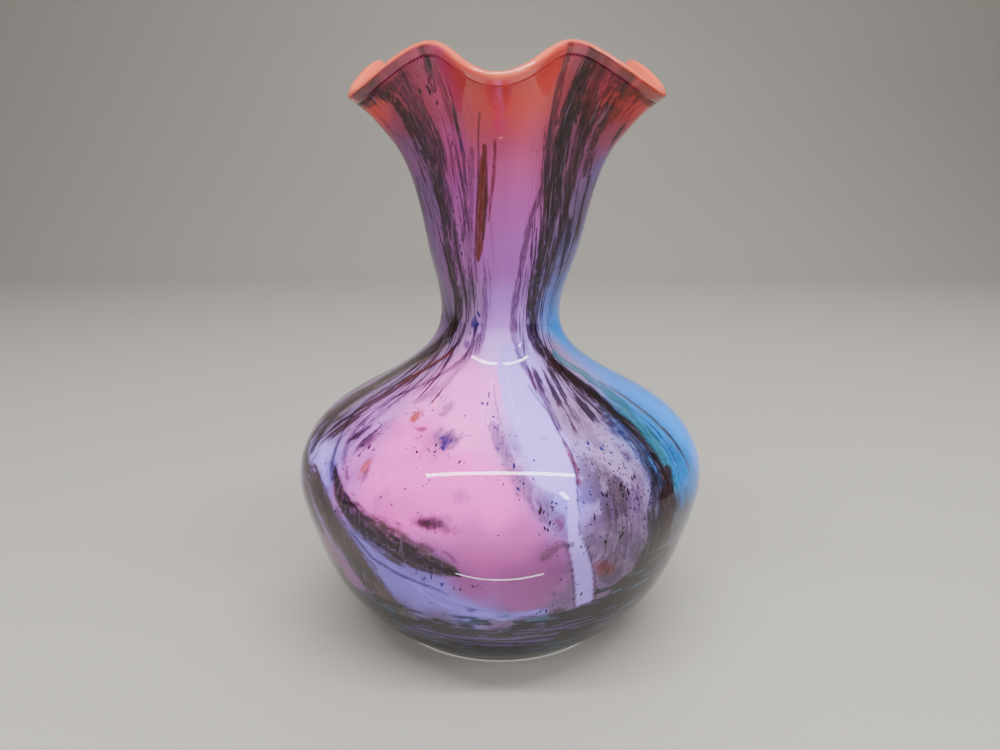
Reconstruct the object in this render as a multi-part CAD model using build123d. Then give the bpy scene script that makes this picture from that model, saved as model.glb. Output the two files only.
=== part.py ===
from build123d import *
import math
import os

# Hand blown cased glass vase with a squat body, a narrow waist and a flared mouth
# crimped into six ruffles. It is built as the maker builds it: a coral inner gather,
# an opal colour gather rolled over it, a thin skin of crushed colour (frit) picked up
# on that, and a clear gather cased over everything. All sizes are in millimetres.
# Origin: centre of the ground base, +Z up. The front ruffle points along -Y.

# --- driving dimensions -------------------------------------------------------
# outer profile (radius, height) from the ground base to the start of the mouth
PROFILE = [
    (61.5, 0.0), (68.2, 6.3), (75.1, 12.9), (80.8, 19.7), (84.7, 24.9), (88.6, 31.4),
    (92.8, 40.5), (98.3, 56.6), (102.3, 71.4), (103.5, 80.8), (102.1, 90.4),
    (99.7, 96.0), (96.4, 101.3), (92.3, 106.0), (87.7, 110.1), (82.5, 113.8),
    (75.6, 118.0), (66.9, 122.7), (56.2, 128.8), (45.9, 135.6), (37.7, 142.7),
    (32.3, 150.4), (30.1, 158.8), (30.4, 167.2), (32.3, 175.7), (34.8, 184.0),
    (37.1, 192.0), (40.2, 207.6), (43.2, 223.1), (47.0, 237.0), (50.6, 245.4),
    (55.6, 253.6), (61.0, 261.6), (67.8, 268.9),
]
RUFFLES = 6              # dips of the mouth, one of them at the front
RUFFLE_START = 0.60      # share of the profile length where the fluting begins
RUFFLE_POWER = 2.3       # how fast the fluting grows towards the lip
RUFFLE_R = 7.4           # a dip is this much wider than the mean, a crest narrower
RUFFLE_Z = 7.9           # a dip is this much lower than the mean, a crest higher
RUFFLE_TURN = 0.042      # the front ruffles are turned by this angle, in radians
RUFFLE_R_BACK = 2.6      # the ruffles at the back are this much deeper in radius
RUFFLE_R_SIDE = 0.9      # and this much deeper towards RUFFLE_SIDE_AT
RUFFLE_SIDE_AT = 2.2     # azimuth, in radians
RUFFLE_Z_FRONT = 0.7     # the front ruffles are this much lower, the back ones higher
MOUTH_SHIFT = 0.9        # the mouth is off centre by this much, towards MOUTH_SHIFT_AT
MOUTH_SHIFT_AT = 2.1     # azimuth, in radians
MOUTH_GROW = 0.6         # and this much wider all round
DROOP = 0.7              # a dip hangs this much lower than an even wave
DROOP_SIDE = 2.6         # and the dips at the sides this much more
BACK_DROP = 1.3          # the lip falls by twice this from front to back
LEAN = 2.2               # the neck leans this far towards +X
LEAN_FROM = 150.0        # height where the lean starts
LEAN_OVER = 60.0         # height over which it comes in
BEAD_R = 2.0             # radius of the fire-polished lip
LIP_END = 0.992          # share of the profile length where the outer gathers end

TAPER_START = 0.86       # share of the profile length where the outer gathers thin out
TAPER_BY = 0.88          # share of their thickness that they lose up to LIP_END
BLEND_START = 0.80       # share of the profile length where the wall starts to turn
BLEND_OVER = 0.16        # into the thickness of the lip, and over which it does

CLEAR_T = 1.7            # clear casing
FRIT_T = 0.25            # melted frit skin
OPAL_T = 1.1             # opal colour casing
CORAL_T = 1.5            # coral inner casing
CLEAR_FLOOR = 5.0        # clear glass under the floor
FRIT_FLOOR = 5.25
OPAL_FLOOR = 6.4
CORAL_FLOOR = 8.0        # inside floor height
CORNER = ((8.5, 0.0), (5.4, 0.25), (2.6, 1.0))   # rounding of the floor corner: in, up
CORNER_RISE = 2.6        # height of that rounding
SWELL = ((0.9940, 0.14), (0.9960, 0.03), (0.9980, 0.0), (1.0, 0.0))   # coral to the lip
PONTIL_R = 17.0          # ground and polished pontil mark under the base
PONTIL_DEPTH = 1.3

SECTIONS = 30            # sections along each interface
LOOP = 60                # points round each section


# --- smooth interpolation ---------------------------------------------------------
def natural_spline(xs, ys):
    n = len(xs) - 1
    h = [xs[i + 1] - xs[i] for i in range(n)]
    a = [0.0] * (n + 1)
    c = [0.0] * (n + 1)
    m = [1.0] + [0.0] * n
    z = [0.0] * (n + 1)
    for i in range(1, n):
        al = 3 * ((ys[i + 1] - ys[i]) / h[i] - (ys[i] - ys[i - 1]) / h[i - 1])
        l = 2 * (xs[i + 1] - xs[i - 1]) - h[i - 1] * a[i - 1]
        a[i] = h[i] / l
        z[i] = (al - h[i - 1] * z[i - 1]) / l
    b = [0.0] * n
    d = [0.0] * n
    for j in range(n - 1, -1, -1):
        c[j] = z[j] - a[j] * c[j + 1]
        b[j] = (ys[j + 1] - ys[j]) / h[j] - h[j] * (c[j + 1] + 2 * c[j]) / 3
        d[j] = (c[j + 1] - c[j]) / (3 * h[j])

    def f(x):
        j = 0
        while j < n - 1 and x > xs[j + 1]:
            j += 1
        t = x - xs[j]
        return ys[j] + b[j] * t + c[j] * t * t + d[j] * t ** 3

    return f


chord = [0.0]
for (r0, z0), (r1, z1) in zip(PROFILE, PROFILE[1:]):
    chord.append(chord[-1] + math.hypot(r1 - r0, z1 - z0))
share = [c / chord[-1] for c in chord]
profile_r = natural_spline(share, [p[0] for p in PROFILE])
profile_z = natural_spline(share, [p[1] for p in PROFILE])


# --- the ruffled outer surface ------------------------------------------------------
def ruffle_weight(t):
    if t <= RUFFLE_START:
        return 0.0
    u = (t - RUFFLE_START) / (1 - RUFFLE_START)
    return u ** RUFFLE_POWER


def outer(a, t):
    # a: azimuth from the front (-Y), towards +X; t: share of the profile length
    w = ruffle_weight(t)
    front = (1 + math.cos(a)) / 2
    wave = math.cos(RUFFLES * (a + RUFFLE_TURN * front ** 2))
    amp_r = RUFFLE_R + RUFFLE_R_BACK * (1 - front) + RUFFLE_R_SIDE * math.cos(a - RUFFLE_SIDE_AT)
    amp_z = RUFFLE_Z - RUFFLE_Z_FRONT * math.cos(a)
    shift = MOUTH_SHIFT * math.cos(a - MOUTH_SHIFT_AT)
    r = profile_r(t) + w * (amp_r * wave + shift + MOUTH_GROW)
    droop = (DROOP + DROOP_SIDE * math.sin(a) ** 2) * ((1 + wave) / 2) ** 2
    z = profile_z(t) + w * (-amp_z * wave - droop - BACK_DROP * (1 - math.cos(a)))
    u = min(1.0, max(0.0, (profile_z(t) - LEAN_FROM) / LEAN_OVER))
    return (r * math.sin(a) + LEAN * u * u * (3 - 2 * u), -r * math.cos(a), z)


def sub(p, q):
    return (p[0] - q[0], p[1] - q[1], p[2] - q[2])


def cross(p, q):
    return (p[1] * q[2] - p[2] * q[1], p[2] * q[0] - p[0] * q[2], p[0] * q[1] - p[1] * q[0])


def unit(p):
    l = math.sqrt(p[0] ** 2 + p[1] ** 2 + p[2] ** 2)
    return (p[0] / l, p[1] / l, p[2] / l)


def normal(a, t):
    e = 1e-4
    t0, t1 = max(t - e, 0.0), min(t + e, 1.0)
    dt = sub(outer(a, t1), outer(a, t0))
    da = sub(outer(a + e, t), outer(a - e, t))
    return unit(cross(da, dt))


def offset(a, t, depth):
    p, n = outer(a, t), normal(a, t)
    return (p[0] - depth * n[0], p[1] - depth * n[1], p[2] - depth * n[2])


def taper(t):
    # the outer gathers thin out to a feather edge below the lip
    if t <= TAPER_START:
        return 1.0
    u = min(1.0, (t - TAPER_START) / (LIP_END - TAPER_START))
    return 1.0 - TAPER_BY * u * u * (3 - 2 * u)


def loop(f):
    return [f(2 * math.pi * i / LOOP) for i in range(LOOP)]


def interface(depth, floor, top, spread):
    # sections from the floor corner up to t = top, at the given depth below the outer surface
    t = 0.0
    while offset(0.0, t, depth(t))[2] < floor + CORNER_RISE:
        t += 0.0005
    r = math.hypot(*offset(0.0, t, depth(t))[:2])
    found = []
    for dr, dz in CORNER:
        found.append([((r - dr) * math.sin(x), -(r - dr) * math.cos(x), floor + dz)
                      for x in (2 * math.pi * i / LOOP for i in range(LOOP))])
    for i in range(spread):
        s = t + (top - t) * i / (spread - 1)
        found.append(loop(lambda a: offset(a, s, depth(s))))
    return found


def wire(points):
    return Wire([Edge.make_spline([Vector(*p) for p in points], periodic=True)])


def skin(sections):
    return Shell.make_loft([wire(s) for s in sections])


def closed(outside, inside, lip):
    # outside and inside are section lists from the bottom up; lip joins their top loops
    faces = list(skin(outside).faces()) + list(skin(inside).faces())
    faces += list(lip)
    faces.append(Face(wire(outside[0])))
    faces.append(Face(wire(inside[0])))
    solid = Solid(Shell(faces))
    if not solid.is_valid:
        solid = solid.fix()
    return solid


def blunt(outside, inside):
    return Shell.make_loft([wire(outside[-1]), wire(inside[-1])], ruled=True).faces()


# depths of the interfaces below the outer surface
def clear_depth(t):
    return CLEAR_T * taper(t)


def frit_depth(t):
    return (CLEAR_T + FRIT_T) * taper(t)


def opal_depth(t):
    return (CLEAR_T + FRIT_T + OPAL_T) * taper(t)


def inner_depth(t):
    full = CLEAR_T + FRIT_T + OPAL_T + CORAL_T
    if t <= BLEND_START:
        return full
    u = min(1.0, (t - BLEND_START) / BLEND_OVER)
    return full + (2 * BEAD_R - full) * u * u * (3 - 2 * u)


s_outer = []
for i in range(SECTIONS):
    s = LIP_END * i / (SECTIONS - 1)
    s_outer.append(loop(lambda a: outer(a, s)))
s_clear = interface(clear_depth, CLEAR_FLOOR, LIP_END, SECTIONS)
s_frit = interface(frit_depth, FRIT_FLOOR, LIP_END, SECTIONS)
s_opal = interface(opal_depth, OPAL_FLOOR, LIP_END, SECTIONS)
s_inner = interface(inner_depth, CORAL_FLOOR, 1.0, SECTIONS)

# coral: from the end of the outer gathers the coral glass swells to the full lip and
# rolls over it
top_loops = [s_opal[-1]]
for s, d in SWELL:
    top_loops.append(loop(lambda a: offset(a, s, d)))
bead = [loop(lambda a: outer(a, 1.0))]
for deg in range(20, 180, 20):
    q = math.radians(deg)

    def on_bead(a):
        p, n = outer(a, 1.0), normal(a, 1.0)
        dt = unit(sub(outer(a, 1.0), outer(a, 0.9995)))
        depth = BEAD_R * (1 - math.cos(q))
        out = BEAD_R * math.sin(q)
        return tuple(p[k] - depth * n[k] + out * dt[k] for k in range(3))

    bead.append(loop(on_bead))
bead.append(s_inner[-1])

os.makedirs("parts", exist_ok=True)

clear = closed(s_outer, s_clear, blunt(s_outer, s_clear))
dimple_r = (PONTIL_R ** 2 + PONTIL_DEPTH ** 2) / (2 * PONTIL_DEPTH)
dimple = Pos(0, 0, PONTIL_DEPTH - dimple_r) * Sphere(dimple_r)
clear = (clear - dimple).solids()[0]
frit = closed(s_clear, s_frit, blunt(s_clear, s_frit))
opal = closed(s_frit, s_opal, blunt(s_frit, s_opal))
lip = list(skin(top_loops + bead[1:]).faces())
coral = closed(s_opal, s_inner, lip)

for name, shape in (
    ("clear_outer_casing", clear),
    ("frit_layer", frit),
    ("opal_colour_casing", opal),
    ("coral_inner_casing", coral),
):
    print(name, shape.is_valid, round(shape.volume))
    export_step(shape, f"parts/{name}.step")
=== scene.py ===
import math
import bpy
import numpy as np
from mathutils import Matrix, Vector


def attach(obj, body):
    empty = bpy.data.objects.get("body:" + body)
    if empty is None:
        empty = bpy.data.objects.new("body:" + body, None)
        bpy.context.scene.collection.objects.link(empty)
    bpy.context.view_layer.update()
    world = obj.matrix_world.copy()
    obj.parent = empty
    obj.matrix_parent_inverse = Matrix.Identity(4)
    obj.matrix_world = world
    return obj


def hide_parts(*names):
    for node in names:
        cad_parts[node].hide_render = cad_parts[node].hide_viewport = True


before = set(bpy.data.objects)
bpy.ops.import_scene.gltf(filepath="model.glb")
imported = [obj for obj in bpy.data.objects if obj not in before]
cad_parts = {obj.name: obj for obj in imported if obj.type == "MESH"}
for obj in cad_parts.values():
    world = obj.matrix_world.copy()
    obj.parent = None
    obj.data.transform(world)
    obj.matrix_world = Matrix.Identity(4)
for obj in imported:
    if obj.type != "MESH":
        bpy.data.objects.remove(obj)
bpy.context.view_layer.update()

MM = 0.001

# ------------------------------------------------------------------ the form, in mm
PROFILE = [
    (61.5, 0.0), (68.2, 6.3), (75.1, 12.9), (80.8, 19.7), (84.7, 24.9), (88.6, 31.4),
    (92.8, 40.5), (98.3, 56.6), (102.3, 71.4), (103.5, 80.8), (102.1, 90.4),
    (99.7, 96.0), (96.4, 101.3), (92.3, 106.0), (87.7, 110.1), (82.5, 113.8),
    (75.6, 118.0), (66.9, 122.7), (56.2, 128.8), (45.9, 135.6), (37.7, 142.7),
    (32.3, 150.4), (30.1, 158.8), (30.4, 167.2), (32.3, 175.7), (34.8, 184.0),
    (37.1, 192.0), (40.2, 207.6), (43.2, 223.1), (47.0, 237.0), (50.6, 245.4),
    (55.6, 253.6), (61.0, 261.6), (67.8, 268.9),
]
BEAD_R = 2.0
LIP_END = 0.992
CLEAR_T, OPAL_END_T, WALL_T = 1.7, 3.05, 4.55


class Spline:
    def __init__(self, xs, ys):
        n = len(xs) - 1
        h = [xs[i + 1] - xs[i] for i in range(n)]
        m, z = [0.0] * (n + 1), [0.0] * (n + 1)
        for i in range(1, n):
            al = 3 * ((ys[i + 1] - ys[i]) / h[i] - (ys[i] - ys[i - 1]) / h[i - 1])
            l = 2 * (xs[i + 1] - xs[i - 1]) - h[i - 1] * m[i - 1]
            m[i] = h[i] / l
            z[i] = (al - h[i - 1] * z[i - 1]) / l
        b, c, d = [0.0] * n, [0.0] * (n + 1), [0.0] * n
        for j in range(n - 1, -1, -1):
            c[j] = z[j] - m[j] * c[j + 1]
            b[j] = (ys[j + 1] - ys[j]) / h[j] - h[j] * (c[j + 1] + 2 * c[j]) / 3
            d[j] = (c[j + 1] - c[j]) / (3 * h[j])
        self.x, self.y = np.array(xs), np.array(ys)
        self.b, self.c, self.d = np.array(b), np.array(c[:-1]), np.array(d)

    def __call__(self, x):
        j = np.clip(np.searchsorted(self.x, x, side="right") - 1, 0, len(self.b) - 1)
        t = x - self.x[j]
        return self.y[j] + t * (self.b[j] + t * (self.c[j] + t * self.d[j]))


chord = [0.0]
for (r0, z0), (r1, z1) in zip(PROFILE, PROFILE[1:]):
    chord.append(chord[-1] + math.hypot(r1 - r0, z1 - z0))
LENGTH = chord[-1]
share = [c / LENGTH for c in chord]
profile_r = Spline(share, [p[0] for p in PROFILE])
profile_z = Spline(share, [p[1] for p in PROFILE])


def outer(a, t):
    w = np.clip((t - 0.60) / 0.40, 0, None) ** 2.3
    front = (1 + np.cos(a)) / 2
    wave = np.cos(6 * (a + 0.042 * front ** 2))
    r = profile_r(t) + w * ((7.4 + 2.6 * (1 - front) + 0.9 * np.cos(a - 2.2)) * wave + 0.9 * np.cos(a - 2.1) + 0.6)
    droop = (0.7 + 2.6 * np.sin(a) ** 2) * ((1 + wave) / 2) ** 2
    z = profile_z(t) + w * (-(7.9 - 0.7 * np.cos(a)) * wave - droop - 1.3 * (1 - np.cos(a)))
    u = np.clip((profile_z(t) - 150) / 60, 0, 1)
    return np.stack([r * np.sin(a) + 2.2 * u * u * (3 - 2 * u), -r * np.cos(a), z], -1)


def unit(v):
    return v / np.linalg.norm(v, axis=-1, keepdims=True)


def normal(a, t):
    e = 1e-4
    t0, t1 = np.clip(t - e, 0, 1), np.clip(t + e, 0, 1)
    return unit(np.cross(outer(a + e, t) - outer(a - e, t), outer(a, t1) - outer(a, t0)))


def offset(a, t, depth):
    return outer(a, t) - normal(a, t) * np.asarray(depth)[..., None]


def smooth(u):
    u = np.clip(u, 0, 1)
    return u * u * (3 - 2 * u)


def taper(t):
    return 1.0 - 0.88 * smooth((t - 0.86) / (LIP_END - 0.86))


def inner_depth(t):
    return WALL_T + (2 * BEAD_R - WALL_T) * smooth((t - 0.80) / 0.16)


# ------------------------------------------------------------------ meshes
def ring_grid(n, ts, depth_of, extra=0.0):
    a = np.linspace(0, 2 * math.pi, n, endpoint=False)[None, :] + math.pi
    t = np.asarray(ts)[:, None]
    a, t = np.broadcast_arrays(a, t)
    return offset(a, t, depth_of(t) + extra), a, t


def floor_rings(n, t0, r0, rows):
    """rings on the floor, from the middle out: rows of (share of r0, height)"""
    a = np.linspace(0, 2 * math.pi, n, endpoint=False) + math.pi
    return [np.stack([r0 * k * np.sin(a), -r0 * k * np.cos(a), np.full(n, z)], -1) for k, z in rows]


def start_of(depth, floor):
    t = 0.0
    while offset(np.array(0.0), np.array(t), np.array(depth(np.array(t))))[2] < floor + 2.6:
        t += 0.0005
    p = offset(np.array(0.0), np.array(t), np.array(depth(np.array(t))))
    return t, float(np.hypot(p[0], p[1]))


def shell(name, rings, uvs=None):
    """rings: list of (n, 3) arrays from the middle of the outside to the middle of the inside"""
    n = len(rings[0])
    co = np.concatenate([rings[0].mean(0)[None]] + list(rings) + [rings[-1].mean(0)[None]])
    m = len(rings)
    last = len(co) - 1
    i = np.arange(n)
    j = (i + 1) % n
    quads = []
    for k in range(m - 1):
        b = 1 + k * n
        quads.append(np.stack([b + i, b + j, b + n + j, b + n + i], 1))
    quads = np.concatenate(quads)
    fan0 = np.stack([np.zeros(n, int), 1 + j, 1 + i], 1)
    b = 1 + (m - 1) * n
    fan1 = np.stack([np.full(n, last), b + i, b + j], 1)
    mesh = bpy.data.meshes.new(name)
    mesh.vertices.add(len(co))
    mesh.vertices.foreach_set("co", (co * MM).astype(np.float32).ravel())
    nq, nt = len(quads), len(fan0) + len(fan1)
    loops = np.concatenate([quads.ravel(), fan0.ravel(), fan1.ravel()])
    mesh.loops.add(len(loops))
    mesh.loops.foreach_set("vertex_index", loops.astype(np.int32))
    mesh.polygons.add(nq + nt)
    starts = np.concatenate([np.arange(nq) * 4, nq * 4 + np.arange(nt) * 3])
    mesh.polygons.foreach_set("loop_start", starts.astype(np.int32))
    mesh.update(calc_edges=True)
    mesh.validate()
    # the sense of the faces: outwards
    vol = 0.0
    p = co[quads[:, 0]], co[quads[:, 1]], co[quads[:, 2]], co[quads[:, 3]]
    vol += np.einsum("ij,ij->i", p[0], np.cross(p[1], p[2])).sum() + np.einsum("ij,ij->i", p[0], np.cross(p[2], p[3])).sum()
    if vol < 0:
        mesh.flip_normals()
    mesh.polygons.foreach_set("use_smooth", np.ones(len(mesh.polygons), bool))
    obj = bpy.data.objects.new(name, mesh)
    bpy.context.scene.collection.objects.link(obj)
    return obj, co


# ------------------------------------------------------------------ noise
def hash2(x, y, seed):
    n = (x.astype(np.int64) * 374761393 + y.astype(np.int64) * 668265263 + seed * 1274126177) & 0xFFFFFFFF
    n = ((n ^ (n >> 13)) * 1103515245 + 12345) & 0xFFFFFFFF
    n = ((n ^ (n >> 15)) * 668265263) & 0xFFFFFFFF
    return ((n ^ (n >> 16)) & 0xFFFFFF) / float(0xFFFFFF)


def vnoise(x, y, seed, wrap=None):
    xi, yi = np.floor(x), np.floor(y)
    fx, fy = x - xi, y - yi
    fx, fy = fx * fx * (3 - 2 * fx), fy * fy * (3 - 2 * fy)
    x0, x1 = xi, xi + 1
    if wrap:
        x0, x1 = np.mod(x0, wrap), np.mod(x1, wrap)
    a, b = hash2(x0, yi, seed), hash2(x1, yi, seed)
    c, d = hash2(x0, yi + 1, seed), hash2(x1, yi + 1, seed)
    return (a * (1 - fx) + b * fx) * (1 - fy) + (c * (1 - fx) + d * fx) * fy


def fbm(x, y, seed, wrap=None, octaves=3):
    v, amp, tot, k = 0.0, 1.0, 0.0, 1
    for o in range(octaves):
        v = v + amp * vnoise(x * k, y * k, seed + 17 * o, wrap * k if wrap else None)
        tot += amp
        amp *= 0.55
        k *= 2
    return v / tot


# ------------------------------------------------------------------ where the colours lie
# azimuth in degrees from the front, share of the profile, then widths in mm and colours
FIELD = [
    (-42.0, 1.0, (156, 88, 106)),
    (-32.0, 0.985, (188, 104, 136)),
    (-30.0, 0.935, (188, 104, 136)),
    (-80.0, 0.99, (156, 88, 106)),
    (-69.0, 0.998, (206, 110, 106)),
    (-11.5, 0.988, (206, 110, 106)),
    (-2.0, 0.985, (206, 110, 106)),
    (8.0, 0.983, (206, 110, 106)),
    (-2.0, 0.953, (208, 108, 104)),
    (-2.0, 0.925, (199, 104, 120)),
    (-2.5, 0.895, (186, 106, 146)),
    (0.0, 0.858, (182, 112, 158)),
    (0.0, 0.807, (174, 114, 168)),
    (1.0, 0.735, (172, 120, 180)),
    (-0.5, 0.657, (184, 142, 206)),
    (0.0, 0.598, (202, 172, 224)),
    (-14.5, 0.94, (198, 104, 118)),
    (-30.0, 0.873, (178, 104, 150)),
    (-26.0, 0.812, (172, 112, 165)),
    (-34.0, 0.73, (170, 120, 170)),
    (-33.5, 0.67, (150, 130, 158)),
    (17.5, 0.995, (206, 110, 106)),
    (37.0, 0.995, (156, 88, 106)),
    (49.0, 1.0, (178, 80, 86)),
    (51.0, 0.963, (196, 84, 84)),
    (51.5, 0.927, (160, 94, 112)),
    (47.5, 0.89, (150, 96, 128)),
    (60.0, 0.87, (128, 110, 150)),
    (58.5, 0.823, (126, 108, 136)),
    (61.0, 0.745, (126, 118, 158)),
    (70.0, 0.677, (112, 130, 180)),
    (70.5, 0.628, (84, 148, 208)),
    (-46.5, 0.927, (156, 88, 106)),
    (-53.5, 0.895, (140, 104, 140)),
    (-57.5, 0.823, (128, 104, 138)),
    (-65.5, 0.728, (128, 106, 138)),
    (-62.0, 0.64, (120, 104, 132)),
    (0.0, 0.54, (220, 154, 208)),
    (-17.5, 0.547, (220, 154, 208)),
    (-30.0, 0.512, (220, 154, 208)),
    (-29.5, 0.425, (214, 130, 192)),
    (-32.0, 0.36, (214, 130, 192)),
    (-25.5, 0.335, (214, 130, 192)),
    (-10.5, 0.39, (214, 130, 192)),
    (-10.5, 0.455, (220, 154, 208)),
    (-14.5, 0.35, (214, 130, 192)),
    (0.0, 0.352, (214, 130, 192)),
    # lower belly: the glass's pink and mauve, darkened with painted shade where the light falls off towards the foot
    (4.5, 0.297, (180, 114, 166)),
    (-4.5, 0.278, (180, 114, 166)),
    (4.5, 0.228, (152, 102, 146)),
    (10.5, 0.265, (152, 102, 146)),
    (-7.0, 0.225, (152, 102, 146)),
    (-54.0, 0.432, (190, 142, 198)),
    (-43.5, 0.36, (190, 130, 190)),
    (-63.5, 0.39, (126, 108, 136)),
    (-82.5, 0.453, (150, 130, 158)),
    (-75.0, 0.542, (150, 130, 158)),
    (-58.5, 0.595, (150, 130, 158)),
    (-61.5, 0.352, (184, 166, 226)),
    (-53.0, 0.33, (150, 138, 205)),
    (-60.5, 0.285, (126, 108, 136)),
    (-54.5, 0.19, (136, 98, 126)),
    (-50.0, 0.158, (150, 112, 150)),
    (-35.5, 0.258, (150, 138, 205)),
    (-27.0, 0.225, (150, 138, 205)),
    (-18.0, 0.203, (150, 138, 205)),
    (-9.0, 0.182, (150, 138, 205)),
    (14.5, 0.583, (184, 166, 226)),
    (9.5, 0.512, (184, 166, 226)),
    (13.0, 0.438, (184, 166, 226)),
    (16.0, 0.383, (184, 166, 226)),
    (17.0, 0.348, (150, 138, 205)),
    (47.5, 0.573, (150, 130, 158)),
    (29.0, 0.465, (150, 130, 158)),
    (27.5, 0.38, (156, 138, 172)),
    (30.0, 0.335, (148, 130, 162)),
    (23.5, 0.29, (144, 124, 154)),
    (32.0, 0.28, (128, 112, 138)),
    (27.0, 0.22, (130, 108, 138)),
    (102.5, 0.515, (62, 150, 214)),
    (99.0, 0.438, (62, 150, 214)),
    (84.5, 0.39, (62, 150, 214)),
    (75.5, 0.35, (62, 150, 214)),
    (56.0, 0.41, (70, 125, 175)),
    (54.5, 0.357, (70, 125, 175)),
    (59.5, 0.318, (70, 125, 175)),
    (55.0, 0.273, (92, 90, 96)),
    (49.0, 0.228, (98, 88, 82)),
    (42.0, 0.18, (82, 70, 70)),
    (0.0, 0.143, (126, 108, 136)),
    (-16.5, 0.147, (126, 108, 136)),
    (16.5, 0.155, (126, 108, 136)),
    (-29.5, 0.145, (98, 88, 82)),
    (29.5, 0.145, (82, 70, 70)),
    (0.0, 0.085, (98, 88, 82)),
    (-16.0, 0.09, (82, 70, 70)),
    (16.0, 0.09, (82, 70, 70)),
]
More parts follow.
